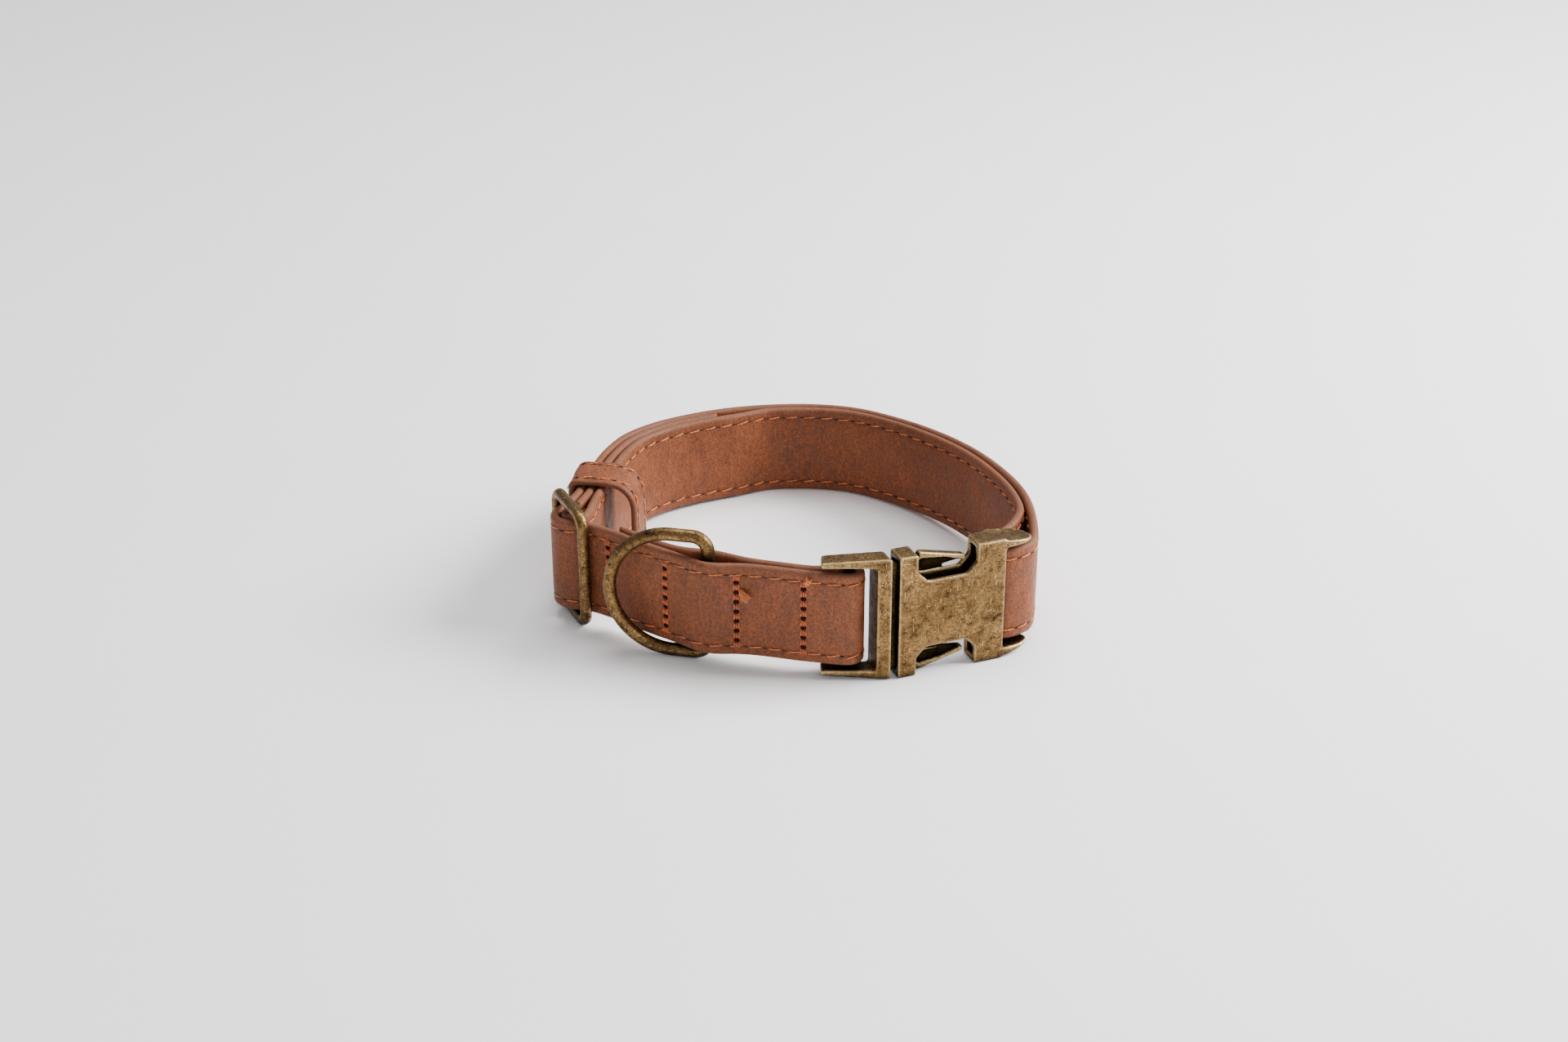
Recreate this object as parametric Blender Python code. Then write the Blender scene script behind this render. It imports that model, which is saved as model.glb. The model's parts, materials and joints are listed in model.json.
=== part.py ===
"""Leather dog collar with a slider, a keeper loop, a D-ring and a side-release buckle.

Metres, +Z up, X to the wearer's left and right, the buckle towards -Y. The collar stands on its
lower edge with the buckle fastened. Plan points are complex numbers, real = X and imaginary = Y.
"""

import cmath
import math

import bmesh
import bpy
import numpy as np
from mathutils import Matrix

MM = 0.001
CLEARANCE = 0.4 * MM

# Strap, doubled leather with rolled edges
STRAP_WIDTH = 25 * MM
STRAP_THICKNESS = 2.2 * MM
STRAP_EDGE_RADIUS = 0.8 * MM
FRONT_LIFT = 3.8 * MM
LIFT_SHARE = 0.69
LAYER_PITCH = STRAP_THICKNESS + CLEARANCE
HALF_STRAP = STRAP_THICKNESS / 2

# Loop in plan, measured between the outer faces of the strap
LOOP_WIDTH = 122.6 * MM
LOOP_DEPTH = 111.9 * MM
HALF_LOOP_WIDTH = LOOP_WIDTH / 2
HALF_LOOP_DEPTH = LOOP_DEPTH / 2
LOOP_CENTRE = complex(-0.06, -0.705) * MM

# Buckle. Its female half is turned to follow the neck, and the male half's end is cut to match
BUCKLE_BAR_RADIUS = 1.4 * MM
BUCKLE_ARM_HEIGHT = 2.6 * MM
BUCKLE_ROOM = 1.4 * MM
BUCKLE_HEIGHT = STRAP_WIDTH + 2 * (BUCKLE_ROOM + BUCKLE_ARM_HEIGHT)
MALE_DEPTH = 5.4 * MM
MALE_LENGTH = 17.4 * MM
MALE_FRONT_BAR = 3.6 * MM
MALE_BAR_INSET = 10.5 * MM
MALE_TAPER = 1.2 * MM
HALVES_GAP = 1.7 * MM
HALVES_STEP = 0.4 * MM
TONGUE_REACH = 2.0 * MM
TONGUE_INSET = 0.3 * MM
FEMALE_TURN = math.radians(21.8)
FEMALE_LENGTH = 28.5 * MM
FEMALE_BOX_LENGTH = 24.0 * MM
FEMALE_WALL = 1.6 * MM
FEMALE_ARM_REACH = 37.0 * MM
FEMALE_ARM_DEPTH = 7.8 * MM
FEMALE_NOSE_TAPER = 2.0 * MM
FEMALE_BAR_SPOT = complex(30.5, 5.8) * MM
# Arms in plan, as shares of their reach past the box and of their depth
ARM_SHARES = (
    (-0.150, 0.020),
    (0.500, 0.020),
    (0.770, 0.115),
    (0.945, 0.310),
    (1.000, 0.540),
    (0.920, 0.820),
    (0.690, 1.000),
    (0.150, 0.975),
    (-0.150, 0.700),
)
CUTOUT_START = 5.0 * MM
CUTOUT_CORNER = 2.6 * MM
CUTOUT_LENGTH = 15.6 * MM
CUTOUT_HEIGHT = 7.4 * MM
PRONG_HEIGHT = 6.2 * MM
PRONG_DEPTH = 2.6 * MM
PRONG_LENGTH = 18.4 * MM
PRONG_ROOT = 2.6 * MM
PRONG_INSET = 0.2 * MM
PRONG_STEP = 0.6 * MM
PRONG_TAPER = 3.0 * MM
PRONG_TIP = 1.4 * MM
PRONG_BOW_SHARE = 0.6
FEMALE_DEPTH = 2 * FEMALE_WALL + PRONG_DEPTH + 2 * CLEARANCE

# Slider
SLIDER_WIRE = 3.0 * MM
SLIDER_ROOM = 0.7 * MM
SLIDER_HEIGHT = STRAP_WIDTH + 2 * (SLIDER_ROOM + SLIDER_WIRE)
SLIDER_LENGTH = 21.6 * MM
SLIDER_CORNER = 3.2 * MM
SLIDER_BAR_RADIUS = 1.25 * MM
SLIDER_BAR_INSET = 1.5 * MM
SLIDER_TURN = math.radians(114.5)
FOLD_BULGE = complex(1.0, 1.4) * MM

# D-ring
RING_WIRE = 3.3 * MM
RING_HEIGHT = 35.2 * MM
RING_LENGTH = 28.6 * MM
RING_TURN = math.radians(168)
RING_CORNER = 4.0 * MM

# Keeper loop
KEEPER_WIDTH = 12.5 * MM
KEEPER_WALL = 1.6 * MM
KEEPER_SPARE = 6.2 * MM
KEEPER_CORNER = 6.6 * MM
KEEPER_TIGHT_CORNER = 1.3 * MM
KEEPER_EASE = 0.2 * MM
KEEPER_EDGE_RADIUS = 0.6 * MM

# Places in plan, as shares of half the loop's width and half its depth
MALE_BAR_SHARE = (0.220, -0.912)
SLIDER_SHARE = (-0.914, -0.372)
TAB_SHARES = (
    (0.080, -0.914),
    (-0.065, -0.876),
    (-0.212, -0.835),
    (-0.335, -0.799),
    (-0.490, -0.718),
    (-0.620, -0.618),
    (-0.715, -0.530),
)
LOOP_SHARES = (
    (-0.896, -0.105),
    (-0.872, 0.070),
    (-0.846, 0.216),
    (-0.803, 0.404),
    (-0.734, 0.583),
    (-0.612, 0.735),
    (-0.434, 0.860),
    (-0.251, 0.944),
    (-0.070, 0.984),
    (0.114, 0.984),
    (0.294, 0.935),
    (0.470, 0.809),
    (0.641, 0.625),
    (0.801, 0.379),
    (0.920, 0.079),
    (0.974, -0.170),
    (0.983, -0.430),
    (0.971, -0.600),
    (0.943, -0.670),
)

# Places along the outer round, as shares of its length from the slider to the buckle
KEEPER_SHARE = 0.060
TAIL_END_SHARE = 0.350
TAIL_STEP_SHARE = 0.065
SPLIT_SHARE = 0.880
RETURN_END_SHARE = 0.962
RETURN_SPREAD = 9.0 * MM
RETURN_LEAD = complex(-3.3, 6.5) * MM
SEAM_SHARE = 0.02
TAIL_START_SHARE = 0.01

# The free edge of the tab, and its pocket for the ring, as shares of the tab's length
TAB_END_SHARE = 0.955
POCKET_SHARE = 0.510
POCKET_LENGTH = 13.0 * MM
BAR_TAPER = 9.0 * MM

PATH_STEP = 3.0 * MM
FOLD_STEP = 0.8 * MM
FOLD_TURN = 0.2
FLOAT_HEIGHT = 0.2 * MM
CUT_PAST = 1.0 * MM
TINY = 1e-6


# Helpers for plan curves


def spot(share):
    """A plan point from its shares of half the loop's width and depth."""
    return LOOP_CENTRE + complex(share[0] * HALF_LOOP_WIDTH, share[1] * HALF_LOOP_DEPTH)


def lengths(path):
    return np.concatenate([[0.0], np.cumsum(np.abs(np.diff(path)))])


def smooth(points, step):
    """Even points on a smooth curve through the given ones, which have no doubles."""
    points = np.asarray(points, complex)
    knots = np.concatenate([[0.0], np.cumsum(np.sqrt(np.abs(np.diff(points))))])
    slopes = np.gradient(points, knots)
    fine = []
    for i in range(len(points) - 1):
        span = knots[i + 1] - knots[i]
        t = np.linspace(0, 1, 24, endpoint=False)
        fine.append(
            points[i] * (2 * t**3 - 3 * t**2 + 1)
            + slopes[i] * span * (t**3 - 2 * t**2 + t)
            + points[i + 1] * (3 * t**2 - 2 * t**3)
            + slopes[i + 1] * span * (t**3 - t**2)
        )
    fine = np.concatenate(fine + [points[-1:]])
    return evenly(fine, step)


def evenly(path, step):
    along = lengths(path)
    count = max(2, round(along[-1] / step) + 1)
    places = np.linspace(0, along[-1], count)
    return np.interp(places, along, path.real) + 1j * np.interp(places, along, path.imag)


def left_normals(path):
    tangents = np.gradient(path)
    return 1j * tangents / np.abs(tangents)


def ease(value, start, end):
    """0 before start, 1 after end, smooth between them."""
    t = np.clip((value - start) / (end - start), 0, 1)
    return t * t * (3 - 2 * t)


def tangent_angle(first, second):
    """Heading of the straight line between two circles (centre, radius, side), side 1 = on its left."""
    between = second[0] - first[0]
    rise = (second[2] * second[1] - first[2] * first[1]) / abs(between)
    return cmath.phase(between) - math.asin(max(-1.0, min(1.0, rise)))


def round_circle(centre, radius, side, heading_in, heading_out):
    """Points of the path round one circle, from one heading to the next."""
    turn = (heading_out - heading_in) % (2 * math.pi)
    if side < 0:
        turn -= 2 * math.pi
    if abs(turn) > 1.9 * math.pi:
        turn -= math.copysign(2 * math.pi, turn)
    count = max(2, round(abs(turn) * radius / FOLD_STEP) + 1)
    headings = heading_in + np.linspace(0, turn, count)
    return centre - side * radius * 1j * np.exp(1j * headings)


def belt(circles):
    """Path that runs straight from circle to circle and round each one but the first and the last."""
    headings = [tangent_angle(a, b) for a, b in zip(circles[:-1], circles[1:])]
    arcs = []
    for circle, heading_in, heading_out in zip(circles[1:-1], headings[:-1], headings[1:]):
        arcs.append(round_circle(*circle, heading_in, heading_out))
    return np.concatenate(arcs)


# Places of the hardware in plan

MALE_BAR = spot(MALE_BAR_SHARE)
MALE_FRONT = MALE_BAR.imag - (BUCKLE_BAR_RADIUS + CLEARANCE + STRAP_THICKNESS)
MALE_RIGHT = MALE_BAR.real + MALE_BAR_INSET
FEMALE_ORIGIN = complex(MALE_RIGHT + HALVES_GAP, MALE_FRONT + HALVES_STEP)
FEMALE_ALONG = cmath.exp(1j * FEMALE_TURN)
FEMALE_BAR = FEMALE_ORIGIN + FEMALE_BAR_SPOT * FEMALE_ALONG
BUCKLE_FOLD_RADIUS = BUCKLE_BAR_RADIUS + CLEARANCE + HALF_STRAP

SLIDER_CENTRE = spot(SLIDER_SHARE)
SLIDER_ALONG = cmath.exp(1j * SLIDER_TURN)
SLIDER_INWARD = -1j * SLIDER_ALONG
SIDE_BAR_REACH = (SLIDER_LENGTH - SLIDER_WIRE) / 2
RIGHT_BAR = SLIDER_CENTRE - SIDE_BAR_REACH * SLIDER_ALONG
LEFT_BAR = SLIDER_CENTRE + SIDE_BAR_REACH * SLIDER_ALONG
MIDDLE_BAR = SLIDER_CENTRE + SLIDER_BAR_INSET * SLIDER_INWARD
SIDE_BAR_RADIUS = SLIDER_WIRE / 2 + CLEARANCE + HALF_STRAP
SLIDER_FOLD_RADIUS = SLIDER_BAR_RADIUS + CLEARANCE + HALF_STRAP


# The strap's route in plan


def tab_middle():
    """Line between the two layers of the tab, from the male half's bar to the slider."""
    gate = RIGHT_BAR + (SIDE_BAR_RADIUS + LAYER_PITCH / 2) * SLIDER_INWARD
    points = [MALE_BAR] + [spot(share) for share in TAB_SHARES] + [gate]
    return smooth(points, PATH_STEP / 3)


def tab_spread(middle):
    """Half the distance between the tab's layers: wide at the bar and at the ring's pocket."""
    along = lengths(middle)
    at_bar = (BUCKLE_FOLD_RADIUS - LAYER_PITCH / 2) * (1 - ease(along, 0, BAR_TAPER))
    pocket = along[-1] * POCKET_SHARE
    hump = np.exp(-(((along - pocket) / (POCKET_LENGTH / 2)) ** 2))
    at_ring = (RING_WIRE / 2 + CLEARANCE) * hump
    return LAYER_PITCH / 2 + at_bar + at_ring


def strap_route():
    """Centre line of the whole strap in plan, and named stretches of it."""
    middle = tab_middle()
    spread = tab_spread(middle)
    inward = -left_normals(middle)
    share = lengths(middle) / lengths(middle)[-1]
    back_layer = (middle + spread * inward)[share <= TAB_END_SHARE][::-1]
    front_layer = (middle - spread * inward)[share <= TAB_END_SHARE - SEAM_SHARE]
    heading = cmath.phase(middle[1] - middle[0])
    male_fold = round_circle(MALE_BAR, BUCKLE_FOLD_RADIUS, -1, heading + math.pi, heading)
    stack_radius = SLIDER_FOLD_RADIUS + LAYER_PITCH
    weave = belt(
        [
            (front_layer[-1], 0, 1),
            (RIGHT_BAR, SIDE_BAR_RADIUS, 1),
            (MIDDLE_BAR, stack_radius, -1),
            (LEFT_BAR, SIDE_BAR_RADIUS, 1),
            (spot(LOOP_SHARES[0]), 0, 1),
        ]
    )
    female_fold = belt(
        [
            (spot(LOOP_SHARES[-1]), 0, 1),
            (FEMALE_BAR, BUCKLE_FOLD_RADIUS, -1),
            (FEMALE_BAR + RETURN_LEAD, 0, 1),
        ]
    )
    outer = smooth([weave[-1]] + [spot(s) for s in LOOP_SHARES] + [female_fold[0]], PATH_STEP)
    along = lengths(outer) / lengths(outer)[-1]
    inner_side = -left_normals(outer)
    tail_blend = 1 - ease(along, TAIL_END_SHARE, TAIL_END_SHARE + TAIL_STEP_SHARE)
    spread = LAYER_PITCH * (1 + tail_blend) + RETURN_SPREAD * ease(along, SPLIT_SHARE, 1)
    inner = (outer + spread * inner_side)[(along > SEAM_SHARE) & (along < RETURN_END_SHARE)][::-1]
    tail = (outer + LAYER_PITCH * inner_side)[(along > TAIL_START_SHARE) & (along < TAIL_END_SHARE)]
    bulge_side = (SLIDER_FOLD_RADIUS + FOLD_BULGE.imag) * SLIDER_INWARD
    bulge = MIDDLE_BAR + FOLD_BULGE.real * SLIDER_ALONG + bulge_side
    slider_fold = belt(
        [
            (bulge, 0, 1),
            (MIDDLE_BAR, SLIDER_FOLD_RADIUS, -1),
            (LEFT_BAR, SIDE_BAR_RADIUS + LAYER_PITCH, 1),
            (tail[0], 0, 1),
        ]
    )
    route = np.concatenate(
        [
            back_layer,
            male_fold[1:-1],
            front_layer,
            weave,
            outer[1:-1],
            female_fold,
            inner,
            [bulge],
            slider_fold,
            tail,
        ]
    )
    return route, outer


def tidy_route(route):
    """The route at the fold step in tight bends and at the path step elsewhere."""
    fine = smooth(route, FOLD_STEP)
    headings = np.unwrap(np.angle(np.diff(fine)))
    kept = [0]
    for i in range(1, len(fine) - 1):
        far = abs(fine[i] - fine[kept[-1]])
        turned = abs(headings[i] - headings[kept[-1]])
        if far >= PATH_STEP or turned > FOLD_TURN:
            kept.append(i)
    return fine[kept + [len(fine) - 1]]


def lift(y):
    """Height of the strap's lower edge: the back lies on the floor, the hardware holds up the front."""
    share = (LOOP_CENTRE.imag + HALF_LOOP_DEPTH - y) / LOOP_DEPTH
    return FRONT_LIFT * min(1.0, max(0.0, share / LIFT_SHARE))


# Helpers for solids


def collection(name, hidden=False):
    made = bpy.data.collections.new(name)
    bpy.context.scene.collection.children.link(made)
    made.hide_render = hidden
    return made


def finish(name, colour, metallic, roughness):
    material = bpy.data.materials.new(name)
    material.use_nodes = True
    shader = material.node_tree.nodes["Principled BSDF"]
    shader.inputs["Base Color"].default_value = (*colour, 1)
    shader.inputs["Metallic"].default_value = metallic
    shader.inputs["Roughness"].default_value = roughness
    return material


def curve_mesh(name, data):
    """A mesh from a curve's data, with its caps welded on."""
    guide = bpy.data.objects.new(name + "_guide", data)
    bpy.context.scene.collection.objects.link(guide)
    bpy.context.view_layer.update()
    graph = bpy.context.evaluated_depsgraph_get()
    mesh = bpy.data.meshes.new_from_object(guide.evaluated_get(graph))
    mesh.transform(guide.matrix_world)
    bpy.data.objects.remove(guide)
    shape = bmesh.new()
    shape.from_mesh(mesh)
    bmesh.ops.remove_doubles(shape, verts=shape.verts, dist=1e-6)
    bmesh.ops.recalc_face_normals(shape, faces=shape.faces)
    shape.to_mesh(mesh)
    shape.free()
    mesh.name = name
    return mesh


def poly_spline(data, points, cyclic=False):
    spline = data.splines.new("POLY")
    spline.points.add(len(points) - 1)
    for point, place in zip(spline.points, points):
        point.co = (*place, 1)
    spline.use_cyclic_u = cyclic
    return spline


def band_mesh(name, points, profile, cyclic=False):
    """A closed profile swept along a level path, its second axis upright."""
    section = bpy.data.curves.new(name + "_section", "CURVE")
    section.dimensions = "2D"
    poly_spline(section, [(x, y, 0) for x, y in profile], cyclic=True)
    section_guide = bpy.data.objects.new(name + "_section", section)
    bpy.context.scene.collection.objects.link(section_guide)
    data = bpy.data.curves.new(name, "CURVE")
    data.dimensions = "3D"
    data.twist_mode = "Z_UP"
    data.bevel_mode = "OBJECT"
    data.bevel_object = section_guide
    data.use_fill_caps = not cyclic
    poly_spline(data, points, cyclic)
    mesh = curve_mesh(name, data)
    bpy.data.objects.remove(section_guide)
    return mesh


def wire_mesh(name, points, radius, cyclic=False, sides=2):
    """A round wire along a path."""
    data = bpy.data.curves.new(name, "CURVE")
    data.dimensions = "3D"
    data.bevel_depth = radius
    data.bevel_resolution = sides
    data.use_fill_caps = not cyclic
    poly_spline(data, points, cyclic)
    return curve_mesh(name, data)


def slab_mesh(name, outline, low, high):
    """A flat outline in plan, raised from one height to another."""
    data = bpy.data.curves.new(name, "CURVE")
    data.dimensions = "2D"
    data.fill_mode = "BOTH"
    data.extrude = (high - low) / 2
    poly_spline(data, [(point.real, point.imag, 0) for point in outline], cyclic=True)
    mesh = curve_mesh(name, data)
    for vertex in mesh.vertices:
        vertex.co.z = high if vertex.co.z > 0 else low
    return mesh


def taper(mesh, start, end, amount, low, high):
    """Draws the outer faces of a slab in along X, from nothing at start to the amount at end."""
    for vertex in mesh.vertices:
        share = min(1.0, max(0.0, (vertex.co.x - start) / (end - start)))
        if low is not None and abs(vertex.co.z - low) < TINY:
            vertex.co.z += amount * share
        if high is not None and abs(vertex.co.z - high) < TINY:
            vertex.co.z -= amount * share
    return mesh


def front_slab_mesh(name, outline, near, far):
    """An outline of (x, z) points, as deep as from near to far along Y."""
    mesh = slab_mesh(name, [complex(x, z) for x, z in outline], -far, -near)
    mesh.transform(Matrix.Rotation(math.pi / 2, 4, "X"))
    return mesh


def box_outline(x0, x1, y0, y1):
    return [complex(x0, y0), complex(x1, y0), complex(x1, y1), complex(x0, y1)]


def stand(target, place, turn=0.0, height=0.0):
    """Turns an object about Z and moves it to a plan point."""
    target.location = (place.real, place.imag, height)
    target.rotation_euler.z = turn
    return target


def piece(name, mesh, group, material):
    made = bpy.data.objects.new(name, mesh)
    mesh.materials.clear()
    mesh.materials.append(material)
    group.objects.link(made)
    return made


def helper(name, mesh, group):
    made = bpy.data.objects.new(name, mesh)
    made.hide_render = True
    made.display_type = "WIRE"
    group.objects.link(made)
    return made


def combine(target, other, operation):
    modifier = target.modifiers.new(other.name, "BOOLEAN")
    modifier.object = other
    modifier.operation = operation
    modifier.solver = "EXACT"


def apply_cuts(target):
    """Works out a piece's Booleans in its own frame, before it is moved to its place."""
    bpy.context.view_layer.update()
    graph = bpy.context.evaluated_depsgraph_get()
    mesh = bpy.data.meshes.new_from_object(target.evaluated_get(graph))
    mesh.name = target.name
    target.modifiers.clear()
    target.data = mesh
    return target


def rounded_box_points(width, height, corners, steps=3):
    """Points of a rounded rectangle about the origin, as (x, y). Corners: one radius, or right and left."""
    right_corner, left_corner = corners if isinstance(corners, tuple) else (corners, corners)
    points = []
    for quarter in range(4):
        corner = right_corner if quarter in (0, 3) else left_corner
        centre_x = (width / 2 - corner) * (1 if quarter in (0, 3) else -1)
        centre_y = (height / 2 - corner) * (1 if quarter in (0, 1) else -1)
        for i in range(steps + 1):
            angle = math.pi / 2 * (quarter + i / steps)
            points.append((centre_x + corner * math.cos(angle), centre_y + corner * math.sin(angle)))
    return points


# Pieces


def make_strap(group, leather):
    route, _ = strap_route()
    points = [(point.real, point.imag, STRAP_WIDTH / 2) for point in tidy_route(route)]
    profile = rounded_box_points(STRAP_THICKNESS, STRAP_WIDTH, STRAP_EDGE_RADIUS, steps=1)
    mesh = band_mesh("strap", points, profile)
    for vertex in mesh.vertices:
        vertex.co.z += lift(vertex.co.y)
    return piece("strap", mesh, group, leather)


def make_keeper(group, leather):
    """A loose loop across three layers of the strap, with its spare room on the inner side."""
    _, outer = strap_route()
    along = lengths(outer) / lengths(outer)[-1]
    index = int(np.searchsorted(along, KEEPER_SHARE))
    place = outer[index]
    heading = outer[index + 1] - outer[index - 1]
    turn = cmath.phase(heading)
    layers = 3 * STRAP_THICKNESS + 2 * CLEARANCE
    room = CLEARANCE + KEEPER_EASE
    width = layers + 2 * room + KEEPER_SPARE + KEEPER_WALL
    height = STRAP_WIDTH + 2 * room + KEEPER_WALL
    centre_shift = width / 2 - KEEPER_WALL / 2 - room - HALF_STRAP
    ring = rounded_box_points(width, height, (KEEPER_CORNER, KEEPER_TIGHT_CORNER), steps=4)
    points = [(x + centre_shift, y, 0) for x, y in ring]
    profile = rounded_box_points(KEEPER_WALL, KEEPER_WIDTH, KEEPER_EDGE_RADIUS, steps=1)
    mesh = band_mesh("keeper_loop", points, profile, cyclic=True)
    mesh.transform(Matrix.Rotation(math.pi / 2, 4, "X"))
    centre = lift(place.imag) + STRAP_WIDTH / 2
    return stand(piece("keeper_loop", mesh, group, leather), place, turn - math.pi / 2, centre)


def make_slider(group, helpers, brass):
    """Rounded wire frame with a bar across its middle, set a little inwards."""
    height = SLIDER_HEIGHT - SLIDER_WIRE
    ring = rounded_box_points(2 * SIDE_BAR_REACH, height, SLIDER_CORNER, steps=4)
    frame = wire_mesh("slider", [(x, 0, z) for x, z in ring], SLIDER_WIRE / 2, cyclic=True)
    half = height / 2
    bar_points = [(0, -SLIDER_BAR_INSET, -half), (0, -SLIDER_BAR_INSET, half)]
    bar = wire_mesh("slider_bar", bar_points, SLIDER_BAR_RADIUS)
    centre = lift(SLIDER_CENTRE.imag) + STRAP_WIDTH / 2
    slider = piece("slider", frame, group, brass)
    combine(slider, helper("slider_bar", bar, helpers), "UNION")
    return stand(apply_cuts(slider), SLIDER_CENTRE, SLIDER_TURN, centre)


def make_ring(group, brass):
    """D-ring whose straight bar stands in the pocket of the tab."""
    middle = tab_middle()
    share = lengths(middle) / lengths(middle)[-1]
    index = int(np.argmin(np.abs(share - POCKET_SHARE)))
    place = middle[index]
    half = (RING_HEIGHT - RING_WIRE) / 2
    reach = RING_LENGTH - RING_WIRE
    outline = []
    for i in range(4):
        angle = math.pi + math.pi / 2 * i / 3
        outline.append(complex(RING_CORNER, RING_CORNER - half) + RING_CORNER * cmath.exp(1j * angle))
    for i in range(16):
        angle = -math.pi / 2 + math.pi * i / 15
        outline.append(complex(reach - half, 0) + half * cmath.exp(1j * angle))
    for i in range(4):
        angle = math.pi / 2 + math.pi / 2 * i / 3
        outline.append(complex(RING_CORNER, half - RING_CORNER) + RING_CORNER * cmath.exp(1j * angle))
    points = [(point.real, 0, point.imag) for point in outline]
    mesh = wire_mesh("d_ring", points, RING_WIRE / 2, cyclic=True)
    centre = RING_HEIGHT / 2 + FLOAT_HEIGHT
    return stand(piece("d_ring", mesh, group, brass), place, RING_TURN, centre)


def prong_outline(top_side):
    """Front view of one prong: rooted in the frame, bowed out to the buckle's edge in the cut-out."""
    throat = BUCKLE_HEIGHT / 2 - FEMALE_WALL - CLEARANCE
    bow = BUCKLE_HEIGHT / 2 - PRONG_INSET
    tip = bow - PRONG_TAPER
    bow_start = CUTOUT_START + CLEARANCE
    back = bow - PRONG_HEIGHT
    points = [
        (-PRONG_ROOT, throat),
        (bow_start, throat),
        (bow_start + PRONG_STEP, bow),
        (PRONG_LENGTH * PRONG_BOW_SHARE, bow - PRONG_TAPER * (1 - PRONG_BOW_SHARE)),
        (PRONG_LENGTH, tip),
        (PRONG_LENGTH, tip - PRONG_TIP),
        (bow_start, back),
        (-PRONG_ROOT, back),
    ]
    side = 1 if top_side else -1
    return [(x, side * z) for x, z in (points if top_side else points[::-1])]


def make_male(group, helpers, brass):
    """Frame with a bar for the strap, a window, a front bar, a tongue and two prongs."""
    left = MALE_RIGHT - MALE_LENGTH
    front = MALE_FRONT
    back = MALE_FRONT + MALE_DEPTH
    slant = MALE_DEPTH * math.tan(FEMALE_TURN)
    outline = [
        complex(left, front),
        complex(MALE_RIGHT, front),
        complex(MALE_RIGHT - slant, back),
        complex(left, back),
    ]
    body = slab_mesh("buckle_male", outline, 0, BUCKLE_HEIGHT)
    taper(body, MALE_RIGHT - slant, left, MALE_TAPER, 0, BUCKLE_HEIGHT)
    male = piece("buckle_male", body, group, brass)
    open_to = MALE_RIGHT - MALE_FRONT_BAR
    lean = CUT_PAST * math.tan(FEMALE_TURN)
    window = [
        complex(left - CUT_PAST, front - CUT_PAST),
        complex(open_to + lean, front - CUT_PAST),
        complex(open_to - slant - lean, back + CUT_PAST),
        complex(left - CUT_PAST, back + CUT_PAST),
    ]
    window_mesh = slab_mesh("male_window", window, BUCKLE_ARM_HEIGHT, BUCKLE_HEIGHT - BUCKLE_ARM_HEIGHT)
    combine(male, helper("male_window", window_mesh, helpers), "DIFFERENCE")
    bar_ends = [
        (MALE_BAR.real, MALE_BAR.imag, BUCKLE_ARM_HEIGHT / 2),
        (MALE_BAR.real, MALE_BAR.imag, BUCKLE_HEIGHT - BUCKLE_ARM_HEIGHT / 2),
    ]
    bar = wire_mesh("male_bar", bar_ends, BUCKLE_BAR_RADIUS)
    combine(male, helper("male_bar", bar, helpers), "UNION")
    near = FEMALE_WALL + CLEARANCE
    half = BUCKLE_HEIGHT / 2 - FEMALE_WALL - CLEARANCE - TONGUE_INSET
    tongue_outline = [(-PRONG_ROOT, -half), (TONGUE_REACH, -half), (TONGUE_REACH, half), (-PRONG_ROOT, half)]
    tongue = front_slab_mesh(
        "male_tongue", tongue_outline, near + TONGUE_INSET, near + PRONG_DEPTH - TONGUE_INSET
    )
    tools = [("male_tongue", tongue)]
    for name, top_side in (("male_prong_top", True), ("male_prong_bottom", False)):
        tools.append((name, front_slab_mesh(name, prong_outline(top_side), near, near + PRONG_DEPTH)))
    for name, mesh in tools:
        tool = stand(helper(name, mesh, helpers), FEMALE_ORIGIN, FEMALE_TURN, BUCKLE_HEIGHT / 2)
        combine(male, tool, "UNION")
    return male


def arm_outline():
    """Plan of the female half's arms, in its own frame: front edge, round nose, back edge."""
    reach = FEMALE_ARM_REACH - FEMALE_BOX_LENGTH
    return [complex(FEMALE_BOX_LENGTH + x * reach, y * FEMALE_ARM_DEPTH) for x, y in ARM_SHARES]


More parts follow.
